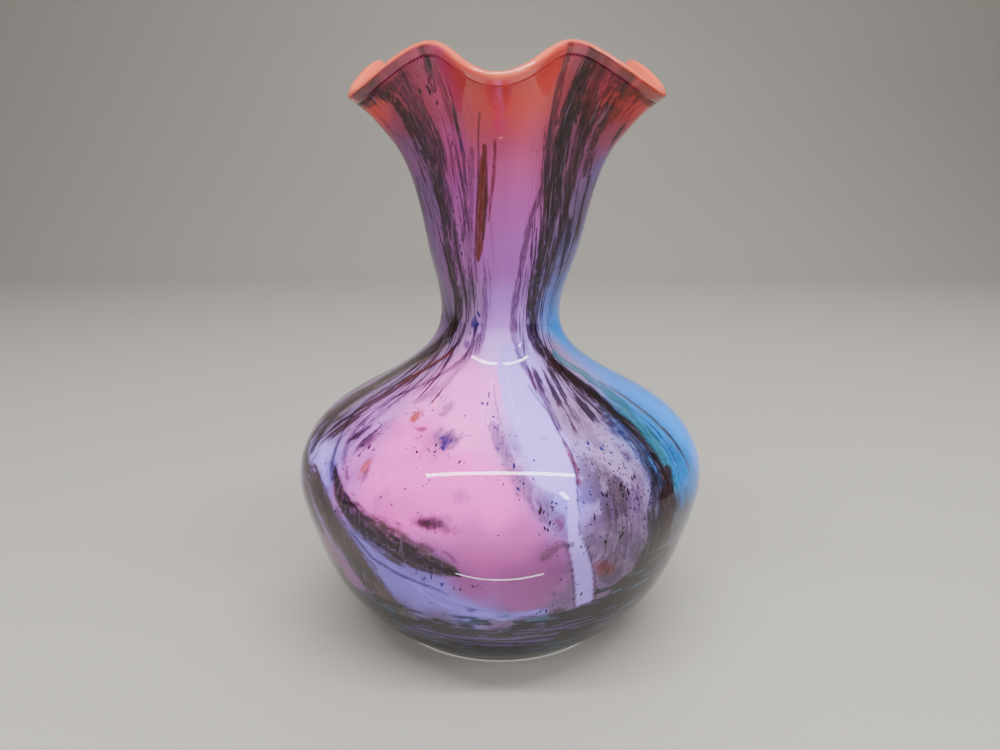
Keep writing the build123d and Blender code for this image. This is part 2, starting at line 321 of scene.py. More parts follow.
BANDS = [
    ((150, 138, 205), 0.85, 0.3, [(-41.0, 0.315, 1.89), (-36.0, 0.273, 3.3), (-27.0, 0.235, 4.01), (-19.0, 0.208, 4.25), (-10.0, 0.185, 4.25), (0.0, 0.175, 3.3), (11.5, 0.177, 2.36)]),
    ((184, 166, 226), 0.6, 0.6, [(-63.0, 0.367, 3.3), (-56.0, 0.34, 3.54), (-50.0, 0.318, 2.36)]),
    ((120, 100, 130), 0.6, 0.8, [(-3.0, 0.468, 2.83), (1.0, 0.422, 3.3), (5.0, 0.38, 4.25), (9.5, 0.345, 4.25), (13.5, 0.315, 2.83)]),
    ((22, 18, 22), 0.93, 0.45, [(-35.5, 0.14, 6.13), (-21.5, 0.11, 8.02), (-3.0, 0.092, 9.43), (16.0, 0.092, 9.43), (30.0, 0.138, 9.43), (41.5, 0.188, 7.55)]),
    ((22, 18, 22), 0.9, 0.2, [(-41.0, 0.055, 7.08), (-28.0, 0.0, 5.66), (0.0, 0.0, 5.66), (28.0, 0.0, 5.66), (41.0, 0.055, 7.08)]),
    ((150, 138, 205), 0.5, 0.85, [(-17.5, 0.128, 1.18), (-5.5, 0.125, 1.65), (5.5, 0.13, 1.65), (15.5, 0.138, 1.18)]),
    ((120, 100, 130), 0.5, 0.85, [(-10.0, 0.077, 0.94), (5.0, 0.072, 1.18), (15.0, 0.077, 0.94)]),
    ((82, 70, 70), 0.9, 0.5, [(-57.0, 0.323, 4.25), (-49.5, 0.295, 8.02), (-43.0, 0.258, 9.91), (-38.0, 0.22, 9.43), (-33.5, 0.19, 6.13)]),
    ((22, 18, 22), 0.6, 0.85, [(-55.0, 0.325, 1.89), (-46.5, 0.29, 3.3), (-41.0, 0.242, 4.25), (-36.0, 0.208, 3.77)]),
    ((82, 70, 70), 0.92, 0.5, [(-49.5, 0.35, 1.89), (-44.0, 0.323, 5.19), (-34.5, 0.295, 8.96), (-25.5, 0.275, 10.85), (-18.5, 0.265, 10.85), (-14.5, 0.26, 7.55), (-11.5, 0.255, 4.25), (-9.5, 0.247, 1.18)]),
    ((22, 18, 22), 0.8, 0.75, [(-50.5, 0.355, 1.42), (-44.0, 0.323, 3.3), (-34.0, 0.292, 6.13), (-23.5, 0.273, 7.55), (-16.5, 0.258, 5.19), (-12.0, 0.253, 2.36), (-9.5, 0.245, 0.94)]),
    ((22, 18, 22), 0.7, 0.5, [(-39.0, 0.28, 0.71), (-33.0, 0.247, 1.18), (-25.0, 0.23, 1.18), (-17.5, 0.22, 0.94), (-13.0, 0.21, 0.47)]),
    ((82, 70, 70), 0.95, 0.4, [(-74.0, 0.333, 4.25), (-58.0, 0.32, 6.13), (-49.5, 0.292, 9.43), (-43.0, 0.247, 10.85), (-37.5, 0.195, 9.43), (-31.5, 0.163, 5.66)]),
    ((22, 18, 22), 0.65, 0.8, [(-72.5, 0.33, 2.83), (-58.5, 0.315, 4.25), (-49.5, 0.29, 6.13), (-43.5, 0.242, 7.08), (-38.0, 0.19, 5.66)]),
    ((44, 28, 24), 0.92, 0.4, [(-78.0, 0.375, 2.83), (-76.5, 0.345, 4.25), (-68.0, 0.315, 5.66), (-60.5, 0.285, 5.66), (-55.5, 0.25, 4.25)]),
    ((22, 18, 22), 0.8, 0.55, [(-64.0, 0.427, 0.94), (-57.0, 0.388, 1.42), (-53.0, 0.36, 1.65), (-49.5, 0.338, 1.42)]),
    ((22, 18, 22), 0.55, 0.8, [(-56.0, 0.45, 1.42), (-54.0, 0.408, 1.89), (-49.5, 0.375, 1.89), (-43.5, 0.348, 1.42)]),
    ((98, 88, 82), 0.85, 0.55, [(-50.5, 0.633, 3.77), (-60.5, 0.598, 5.66), (-80.5, 0.545, 7.08), (-81.5, 0.48, 7.55), (-76.0, 0.425, 7.55), (-71.5, 0.378, 5.66)]),
    ((22, 18, 22), 0.75, 0.8, [(-45.5, 0.64, 2.83), (-57.5, 0.608, 4.25), (-80.0, 0.56, 5.19), (-86.0, 0.497, 5.66), (-79.5, 0.438, 5.66), (-73.0, 0.388, 4.72), (-68.5, 0.35, 3.77)]),
    ((22, 18, 22), 0.8, 0.55, [(-35.0, 0.635, 1.18), (-38.5, 0.608, 1.18), (-48.5, 0.575, 1.42), (-60.5, 0.53, 1.42), (-68.0, 0.49, 1.42), (-68.5, 0.458, 1.65), (-64.0, 0.425, 1.42)]),
    ((106, 50, 36), 0.75, 0.6, [(-41.0, 0.593, 0.71), (-52.0, 0.568, 1.18), (-59.0, 0.535, 1.18), (-62.5, 0.51, 0.71)]),
    ((44, 28, 24), 0.6, 0.8, [(-19.5, 0.62, 1.18), (-25.5, 0.593, 1.42), (-36.0, 0.562, 1.65), (-47.0, 0.525, 1.42), (-56.0, 0.487, 1.18), (-57.0, 0.458, 0.71)]),
    ((120, 100, 130), 0.5, 0.8, [(-24.5, 0.598, 2.36), (-34.0, 0.53, 2.83), (-41.0, 0.495, 2.36)]),
    ((62, 32, 58), 0.7, 0.6, [(-22.5, 0.638, 0.71), (-25.0, 0.608, 0.94), (-29.0, 0.583, 0.71)]),
    ((44, 28, 24), 0.88, 0.86, [(-78.0, 0.998, 2.83), (-52.0, 0.988, 3.3), (-49.5, 0.965, 3.3), (-48.5, 0.938, 3.3), (-48.5, 0.893, 3.07), (-46.0, 0.848, 3.54), (-44.0, 0.8, 2.83), (-44.0, 0.745, 2.83), (-44.0, 0.693, 3.3), (-44.0, 0.652, 3.54), (-51.0, 0.618, 3.3)]),
    ((62, 32, 58), 0.55, 0.9, [(-90.5, 1.0, 2.83), (-45.0, 0.978, 3.77), (-44.0, 0.945, 3.77), (-44.0, 0.9, 3.54), (-42.0, 0.853, 3.07), (-39.0, 0.805, 2.36), (-37.5, 0.743, 2.36), (-34.5, 0.685, 2.36), (-33.0, 0.64, 1.89)]),
    ((110, 40, 45), 0.42, 0.8, [(-30.5, 0.995, 2.83), (-30.5, 0.965, 3.07), (-29.5, 0.935, 2.59), (-29.0, 0.907, 1.65)]),
    ((22, 18, 22), 0.7, 0.85, [(-32.5, 1.0, 2.12), (-34.0, 0.975, 2.12), (-35.0, 0.95, 1.89)]),
    ((62, 32, 58), 0.65, 0.75, [(-25.5, 0.932, 1.18), (-27.0, 0.905, 1.42), (-25.5, 0.875, 1.42), (-26.0, 0.825, 1.18), (-30.5, 0.758, 0.94)]),
    ((44, 28, 24), 0.5, 0.75, [(-59.5, 0.855, 1.42), (-71.5, 0.772, 1.65), (-81.5, 0.69, 1.89), (-60.0, 0.633, 1.89)]),
    ((106, 50, 36), 0.98, 0.15, [(-10.5, 0.895, 1.18), (-12.5, 0.853, 2.36), (-14.5, 0.812, 3.3), (-17.0, 0.768, 3.07), (-19.5, 0.73, 1.18)]),
    ((44, 28, 24), 0.75, 0.4, [(-10.0, 0.87, 0.59), (-12.0, 0.812, 0.71), (-15.0, 0.763, 0.59)]),
    ((110, 40, 45), 0.8, 0.35, [(-5.0, 0.907, 0.47), (-5.0, 0.888, 0.94), (-6.5, 0.858, 1.06), (-8.5, 0.823, 0.71), (-10.5, 0.79, 0.47)]),
    ((62, 32, 58), 0.7, 0.3, [(-10.0, 0.945, 0.47), (-13.0, 0.907, 0.57), (-16.0, 0.85, 0.57), (-19.0, 0.795, 0.57), (-22.0, 0.728, 0.57), (-21.5, 0.698, 0.47)]),
    ((62, 32, 58), 0.45, 0.8, [(-19.0, 0.88, 1.89), (-22.5, 0.812, 2.12), (-26.0, 0.745, 2.12), (-26.5, 0.67, 1.89)]),
    ((62, 32, 58), 0.5, 0.8, [(-14.5, 0.703, 1.42), (-15.0, 0.657, 1.65), (-16.0, 0.62, 1.65), (-18.5, 0.595, 1.42)]),
    ((62, 32, 58), 0.7, 0.75, [(24.5, 0.985, 2.36), (25.5, 0.948, 2.83), (26.0, 0.905, 2.83), (26.0, 0.868, 2.59), (25.5, 0.828, 2.36), (18.0, 0.79, 2.12), (14.5, 0.738, 2.12), (13.5, 0.675, 1.89), (12.5, 0.633, 2.12), (15.0, 0.595, 2.12), (20.0, 0.557, 2.12), (22.5, 0.508, 1.89), (21.5, 0.455, 1.42)]),
    ((44, 28, 24), 0.85, 0.85, [(34.5, 0.993, 3.54), (34.5, 0.96, 4.25), (33.0, 0.922, 4.72), (33.0, 0.888, 5.19), (33.0, 0.843, 4.72), (32.0, 0.79, 4.25), (30.5, 0.743, 4.01), (28.5, 0.703, 3.77), (29.5, 0.652, 4.01), (32.0, 0.615, 4.25), (40.5, 0.58, 4.72), (48.0, 0.532, 5.19), (50.5, 0.482, 4.72), (51.0, 0.43, 4.25), (49.5, 0.378, 3.54)]),
    ((22, 18, 22), 0.75, 0.82, [(34.0, 0.975, 2.36), (33.5, 0.94, 3.77), (33.5, 0.905, 3.77), (34.0, 0.863, 3.54), (33.5, 0.805, 3.07), (32.5, 0.75, 2.83), (30.0, 0.7, 2.83), (30.5, 0.652, 3.07), (34.0, 0.615, 3.3), (43.0, 0.575, 3.54), (48.0, 0.522, 3.3), (49.5, 0.465, 2.59), (49.0, 0.408, 2.12), (48.0, 0.35, 1.89)]),
    ((110, 40, 45), 0.6, 0.75, [(40.0, 1.0, 3.77), (41.0, 0.973, 4.01), (41.5, 0.938, 2.83), (42.5, 0.905, 1.42)]),
    ((110, 40, 45), 0.5, 0.85, [(37.0, 1.0, 3.3), (38.5, 0.975, 3.07), (39.0, 0.94, 1.89)]),
    ((44, 28, 24), 0.7, 0.8, [(41.0, 0.938, 2.83), (42.5, 0.897, 2.83), (43.5, 0.843, 2.59), (42.0, 0.795, 2.36), (40.5, 0.745, 2.12), (43.0, 0.69, 1.65)]),
    ((106, 50, 36), 0.75, 0.6, [(74.5, 0.99, 1.89), (49.0, 0.985, 2.83), (48.5, 0.958, 2.83), (48.0, 0.925, 2.12), (49.0, 0.893, 1.18)]),
    ((44, 28, 24), 0.75, 0.75, [(43.5, 1.0, 3.3), (46.0, 0.985, 3.3), (45.5, 0.95, 2.83), (47.5, 0.905, 2.12), (50.5, 0.855, 1.42)]),
    ((22, 18, 22), 0.7, 0.8, [(40.5, 0.792, 1.42), (41.5, 0.76, 1.65), (40.5, 0.728, 1.18)]),
    ((70, 112, 124), 0.85, 0.6, [(48.0, 0.585, 2.36), (59.5, 0.54, 3.77), (60.0, 0.487, 5.19), (54.5, 0.425, 6.13), (51.5, 0.37, 5.66), (50.5, 0.323, 4.25)]),
    ((44, 28, 24), 0.85, 0.62, [(40.0, 0.573, 3.77), (47.0, 0.525, 6.13), (47.5, 0.47, 8.02), (46.5, 0.415, 8.49), (45.5, 0.367, 7.55), (45.5, 0.325, 6.13)]),
    ((22, 18, 22), 0.85, 0.75, [(46.5, 0.557, 2.36), (50.5, 0.508, 3.3), (50.0, 0.448, 3.3), (48.5, 0.39, 3.3), (49.0, 0.34, 2.83), (49.5, 0.292, 2.36)]),
    ((98, 88, 82), 0.85, 0.6, [(64.5, 0.515, 0.94), (66.5, 0.468, 1.65), (64.0, 0.415, 1.89), (63.0, 0.367, 1.89), (62.5, 0.33, 1.42)]),
    ((22, 18, 22), 0.8, 0.75, [(68.0, 0.497, 0.71), (66.5, 0.445, 0.94), (64.0, 0.398, 1.18), (62.5, 0.35, 0.94)]),
    ((205, 185, 215), 0.85, 0.3, [(95.5, 0.583, 0.59), (107.0, 0.497, 0.71), (104.0, 0.415, 0.71), (93.0, 0.37, 0.71), (85.5, 0.343, 0.59)]),
    ((70, 125, 175), 0.7, 0.7, [(57.5, 0.385, 2.83), (55.0, 0.34, 3.3), (54.0, 0.29, 2.83)]),
    ((98, 88, 82), 0.95, 0.35, [(69.5, 0.292, 1.89), (69.0, 0.263, 4.72), (66.5, 0.223, 7.55), (65.0, 0.175, 8.02), (59.0, 0.128, 7.08)]),
    ((22, 18, 22), 0.7, 0.8, [(69.0, 0.258, 2.83), (67.0, 0.217, 4.72), (64.5, 0.173, 5.19), (58.0, 0.128, 4.25)]),
    ((44, 28, 24), 0.95, 0.4, [(51.0, 0.348, 3.77), (46.0, 0.305, 7.08), (45.0, 0.255, 10.38), (42.5, 0.21, 10.85), (34.5, 0.188, 8.49)]),
    ((82, 70, 70), 0.55, 0.85, [(27.5, 0.393, 3.77), (30.0, 0.345, 6.6), (29.5, 0.29, 8.49), (28.0, 0.233, 7.08)]),
    ((22, 18, 22), 0.8, 0.7, [(45.0, 0.357, 1.89), (39.5, 0.31, 3.3), (40.0, 0.258, 4.25), (37.5, 0.203, 5.19)]),
    ((120, 100, 130), 0.6, 0.85, [(40.0, 0.365, 4.72), (34.0, 0.318, 6.13), (32.0, 0.263, 6.6)]),
    ((106, 50, 36), 0.8, 0.4, [(21.0, 0.44, 0.71), (21.0, 0.413, 1.18), (21.0, 0.385, 1.42), (20.5, 0.367, 0.94)]),
    ((22, 18, 22), 0.7, 0.4, [(16.0, 0.542, 0.42), (20.5, 0.49, 0.52), (21.0, 0.443, 0.61), (21.5, 0.413, 0.61), (20.5, 0.38, 0.52), (19.0, 0.345, 0.47)]),
    ((22, 18, 22), 0.6, 0.2, [(19.0, 0.345, 0.38), (18.5, 0.302, 0.42), (20.5, 0.278, 0.47), (23.5, 0.235, 0.57), (26.0, 0.185, 0.57)]),
    ((62, 32, 58), 0.65, 0.4, [(15.0, 0.292, 0.47), (17.0, 0.255, 0.57), (19.0, 0.212, 0.57), (20.0, 0.182, 0.47)]),
    ((62, 32, 58), 0.5, 0.2, [(-3.5, 0.54, 0.35), (-1.5, 0.503, 0.42), (0.5, 0.468, 0.47)]),
    ((82, 70, 70), 0.55, 0.85, [(10.0, 0.275, 2.36), (13.5, 0.29, 2.83), (16.5, 0.29, 1.89)]),
    ((110, 40, 45), 0.5, 0.5, [(24.5, 0.25, 2.83), (28.5, 0.233, 2.83)]),
]
RIBBONS = [
    ((184, 166, 226), 0.93, [(6.5, 0.595, 4.25), (7.0, 0.562, 6.13), (10.0, 0.52, 8.02), (13.0, 0.473, 9.43), (14.5, 0.43, 10.38), (15.0, 0.388, 9.43), (17.0, 0.362, 4.25), (18.0, 0.35, 2.36), (17.0, 0.31, 2.59), (18.0, 0.285, 3.3), (20.0, 0.25, 4.01), (22.5, 0.188, 4.25)]),
]
BLOTS = [
    (-16.5, 0.318, 8.02, 2.71, (82, 70, 70), 0.8),
    (-12.0, 0.312, 4.72, 2.71, (82, 70, 70), 0.55),
    (-17.5, 0.318, 3.77, 1.63, (44, 28, 24), 0.6),
    (-13.5, 0.325, 6.6, 2.17, (120, 100, 130), 0.4),
    (-34.5, 0.47, 2.36, 5.97, (158, 88, 52), 0.85),
    (-29.0, 0.45, 3.3, 1.63, (106, 50, 36), 0.7),
    (-18.5, 0.44, 7.08, 7.05, (120, 100, 130), 0.75),
    (-17.0, 0.435, 4.25, 4.34, (36, 44, 110), 0.65),
    (-23.5, 0.492, 2.83, 5.42, (120, 100, 130), 0.6),
    (-39.5, 0.372, 2.83, 5.97, (158, 88, 52), 0.75),
    (-38.0, 0.367, 1.42, 4.34, (44, 28, 24), 0.5),
    (-9.5, 0.357, 4.25, 3.8, (120, 100, 130), 0.35),
    (-17.0, 0.32, 6.6, 3.25, (44, 28, 24), 0.4),
    (14.0, 0.323, 2.83, 4.34, (106, 50, 36), 0.6),
    (0.0, 0.44, 3.3, 7.59, (120, 100, 130), 0.45),
    (6.0, 0.372, 4.72, 8.68, (120, 100, 130), 0.4),
    (10.5, 0.338, 4.72, 5.42, (120, 100, 130), 0.4),
    (26.0, 0.238, 4.25, 4.34, (110, 40, 45), 0.5),
    (-56.5, 0.43, 4.72, 3.25, (120, 100, 130), 0.4),
    (-33.0, 0.985, 1.42, 3.8, (22, 18, 22), 0.8),
    (-26.5, 0.912, 1.18, 4.88, (22, 18, 22), 0.8),
    (-26.0, 0.88, 1.42, 3.25, (36, 44, 110), 0.8),
    (-24.5, 0.633, 1.89, 4.34, (36, 44, 110), 0.8),
    (-29.5, 0.605, 2.36, 2.17, (36, 44, 110), 0.6),
    (37.0, 0.932, 1.89, 4.34, (22, 18, 22), 0.8),
    (42.0, 1.0, 2.36, 1.63, (36, 44, 110), 0.7),
    (15.0, 0.443, 1.89, 2.17, (120, 100, 130), 0.3),
    (43.5, 0.43, 5.66, 4.34, (36, 44, 110), 0.35),
    (-7.5, 0.185, 2.36, 2.17, (22, 18, 22), 0.6),
    (15.5, 0.177, 3.3, 1.63, (22, 18, 22), 0.6),
    (1.5, 0.175, 1.89, 2.17, (70, 112, 124), 0.6),
]
CHIPS = [
    (-1.0, 0.455, 2.83, 16.27, 16, (36, 44, 110)),
    (5.0, 0.38, 5.66, 10.85, 22, (36, 44, 110)),
    (11.0, 0.333, 4.72, 8.68, 14, (44, 28, 24)),
    (-18.5, 0.44, 6.6, 7.59, 22, (36, 44, 110)),
    (-17.0, 0.403, 8.49, 7.59, 8, (22, 18, 22)),
    (-52.0, 0.425, 5.66, 4.34, 12, (36, 44, 110)),
    (33.0, 0.422, 12.26, 7.59, 26, (36, 44, 110)),
    (32.5, 0.36, 13.21, 14.1, 44, (22, 18, 22)),
    (29.0, 0.297, 14.15, 16.27, 44, (22, 18, 22)),
    (26.0, 0.205, 8.49, 6.51, 14, (22, 18, 22)),
    (-7.0, 0.225, 11.79, 3.25, 8, (22, 18, 22)),
    (-17.0, 0.23, 6.6, 3.25, 14, (36, 44, 110)),
    (-24.0, 0.63, 2.83, 7.59, 8, (36, 44, 110)),
    (-34.0, 0.81, 2.36, 27.12, 10, (22, 18, 22)),
    (-33.0, 0.935, 6.6, 16.27, 12, (22, 18, 22)),
    (38.5, 0.958, 10.38, 16.27, 18, (22, 18, 22)),
    (-19.0, 0.388, 18.87, 16.27, 8, (22, 18, 22)),
    (-42.5, 0.378, 4.72, 10.85, 10, (22, 18, 22)),
    (-34.5, 0.48, 6.6, 6.51, 8, (106, 50, 36)),
    (-40.5, 0.295, 6.6, 16.27, 10, (22, 18, 22)),
    (12.0, 0.173, 18.87, 2.71, 12, (22, 18, 22)),
    (-6.5, 0.515, 1.42, 5.42, 5, (36, 44, 110)),
]

# the back, which repeats the same habits of flow with other bands
BACK_FIELD = [
    (110, .33, (90, 130, 180)), (125, .40, (110, 130, 180)), (118, .25, (90, 80, 90)), (140, .30, (176, 140, 190)),
    (150, .42, (206, 150, 204)), (165, .33, (214, 145, 200)), (180, .40, (216, 156, 208)), (-165, .28, (190, 126, 180)),
    (-150, .38, (184, 160, 214)), (-135, .30, (160, 148, 205)), (-120, .40, (140, 124, 160)), (-115, .27, (120, 92, 110)),
    (150, .20, (150, 110, 150)), (180, .18, (165, 112, 160)), (-150, .19, (140, 126, 190)), (-120, .16, (120, 100, 140)),
    (110, .55, (120, 130, 180)), (140, .60, (178, 150, 200)), (180, .60, (184, 132, 190)), (-150, .60, (170, 130, 180)),
    (-115, .58, (130, 116, 150)), (-120, .75, (150, 106, 150)), (-150, .78, (172, 112, 168)), (180, .75, (170, 114, 176)),
    (150, .76, (166, 116, 176)), (115, .72, (126, 118, 160)), (110, .88, (170, 96, 128)), (140, .90, (196, 98, 128)),
    (180, .93, (206, 108, 112)), (-150, .90, (190, 94, 122)), (-120, .92, (210, 90, 96)), (-100, .86, (170, 92, 124)),
    (120, .99, (214, 112, 104)), (150, .99, (180, 84, 104)), (180, .99, (214, 112, 104)), (-150, .99, (180, 84, 104)),
    (-120, .99, (214, 112, 104)), (-90, .99, (180, 84, 104)), (90, .99, (180, 84, 104)), (60, .99, (212, 112, 104)),
    (-60, .99, (212, 112, 104)), (0, .985, (214, 112, 106)),
]
BACK_BANDS = [
    ((44, 28, 24), .9, .5, [(128, .985, 4), (134, .9, 5), (138, .8, 4), (136, .7, 3.4), (128, .62, 3.4), (118, .54, 4), (108, .46, 5), (100, .38, 5), (96, .30, 6), (98, .2, 8)]),
    ((22, 18, 22), .8, .75, [(140, .98, 4), (146, .88, 4), (148, .75, 3), (144, .64, 2.6), (136, .56, 3), (124, .47, 4), (116, .38, 5), (110, .28, 6)]),
    ((78, 56, 50), .85, .55, [(-165, .985, 5), (-160, .88, 5), (-158, .74, 3.4), (-150, .63, 3), (-140, .55, 4), (-126, .46, 6), (-112, .38, 6), (-102, .28, 7), (-104, .2, 8)]),
    ((22, 18, 22), .8, .8, [(-176, .98, 4), (-170, .86, 4), (-166, .72, 3), (-160, .62, 2.8), (-152, .53, 4), (-142, .42, 6), (-136, .33, 7), (-138, .22, 8)]),
    ((98, 88, 82), .7, .75, [(-120, .975, 5), (-118, .85, 4), (-116, .7, 3), (-112, .6, 3.4), (-104, .5, 6), (-96, .42, 7)]),
    ((44, 28, 24), .8, .6, [(-96, .97, 4), (-94, .84, 4), (-92, .7, 3), (-90, .6, 3)]),
    ((128, 48, 20), .85, .4, [(168, .92, 1.2), (170, .82, 2.2), (171, .72, 2), (170, .66, .8)]),
    ((44, 28, 24), .8, .6, [(104, .97, 4), (106, .84, 4), (104, .7, 3), (100, .6, 3), (96, .52, 4)]),
    ((62, 150, 214), .85, .4, [(92, .6, 4), (96, .5, 8), (100, .42, 9), (104, .36, 9), (106, .3, 7)]),
    ((184, 166, 226), .9, .3, [(-172, .6, 3), (-176, .5, 8), (178, .42, 9), (172, .34, 7), (170, .25, 4)]),
    ((78, 56, 50), .8, .6, [(150, .3, 4), (160, .25, 9), (172, .22, 10), (-176, .2, 6)]),
    ((36, 44, 110), .5, .85, [(140, .45, 6), (146, .36, 8), (150, .28, 8)]),
    ((22, 18, 22), .93, .45, [(75, .13, 12), (100, .10, 12), (130, .10, 12), (160, .11, 12), (180, .10, 12)]),
    ((22, 18, 22), .93, .45, [(-180, .10, 12), (-150, .11, 12), (-120, .12, 12), (-90, .13, 12), (-60, .12, 12), (-40, .10, 12)]),
    ((22, 18, 22), .93, .15, [(0, .03, 11), (45, .03, 11), (90, .03, 11), (135, .03, 11), (180, .03, 11)]),
    ((22, 18, 22), .93, .15, [(-180, .03, 11), (-135, .03, 11), (-90, .03, 11), (-45, .03, 11), (0, .03, 11)]),
    ((150, 138, 205), .7, .7, [(-80, .17, 3), (-105, .15, 4), (-130, .16, 4), (-160, .15, 3)]),
    ((70, 112, 124), .7, .7, [(70, .16, 3), (95, .17, 5), (125, .16, 5), (150, .17, 3)]),
]


def srgb(c):
    c = np.asarray(c, float) / 255.0
    c = np.where(c <= 0.04045, c / 12.92, ((c + 0.055) / 1.055) ** 2.4)
    grey = c.mean(-1, keepdims=True)
    c = np.clip(grey + 1.28 * (c - grey), 0.0015, 1)
    return 0.55 * (c / 0.55) ** 1.22


def grains(a, t):
    """how thick the crushed grains lie"""
    degs = np.degrees((a + math.pi) % (2 * math.pi) - math.pi)
    sp = np.full(a.shape, 0.02)
    for d0, t0, rx, ry, v in ((34, .35, 18, 26, 1.0), (29, .26, 14, 26, .9), (45, .30, 12, 26, .9), (-40, .33, 18, 18, .3), (-22, .42, 8, 10, .35), (13, .33, 6, 16, .5), (4, .42, 5, 14, .5), (20, .27, 6, 10, .5),
                              (-52, .45, 16, 16, .4), (26, .48, 9, 22, .4), (-45, .28, 14, 14, .4), (-40, .75, 14, 70, .3),
                              (40, .80, 14, 60, .3), (120, .36, 34, 40, .4), (-150, .36, 34, 40, .4), (170, .30, 20, 20, .5), (-30, .15, 40, 8, .4), (20, .15, 40, 8, .4)):
        dd = (degs - d0 + 180) % 360 - 180
        q = (dd / rx) ** 2 + ((t * LENGTH - t0 * LENGTH) / ry) ** 2
        sp = np.maximum(sp, v * np.exp(-q))
    for d0, t0, rx, ry in ((-14, .37, 13, 14), (-6, .26, 13, 20), (3, .72, 8, 60), (5, .9, 10, 40)):
        dd = (degs - d0 + 180) % 360 - 180
        q = (dd / rx) ** 2 + ((t * LENGTH - t0 * LENGTH) / ry) ** 2
        sp = sp * (1 - 0.85 * np.exp(-q))
    return sp


